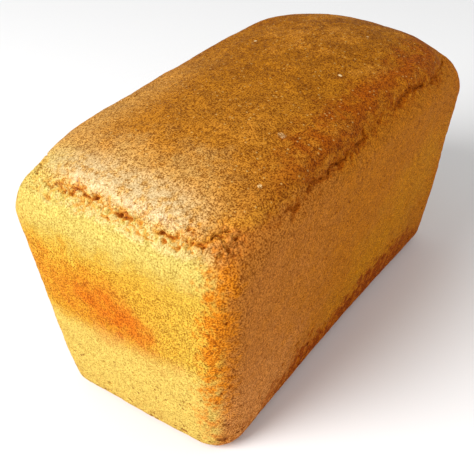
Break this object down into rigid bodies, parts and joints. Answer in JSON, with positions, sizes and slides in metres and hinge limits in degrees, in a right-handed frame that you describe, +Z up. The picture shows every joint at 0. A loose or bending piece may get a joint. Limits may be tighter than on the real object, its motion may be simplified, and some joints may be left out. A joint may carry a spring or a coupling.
{
  "type": "tin loaf",
  "caption": "Whole loaf of bread baked in a tapered rectangular tin, with leaning walls, a torn crease at the rim and a low domed brown top.",
  "frame": {"origin": "middle of the flat base, at the bottom centre of the loaf's box", "axes": "+Z up, from the base to the domed top; +X along the loaf's length, +Y across it"},
  "size_m": [0.218, 0.1094, 0.128],
  "materials": {
    "crust": "matte"
  },
  "bodies": {
    "root": {"loaf": "crust"}
  },
  "joints": []
}
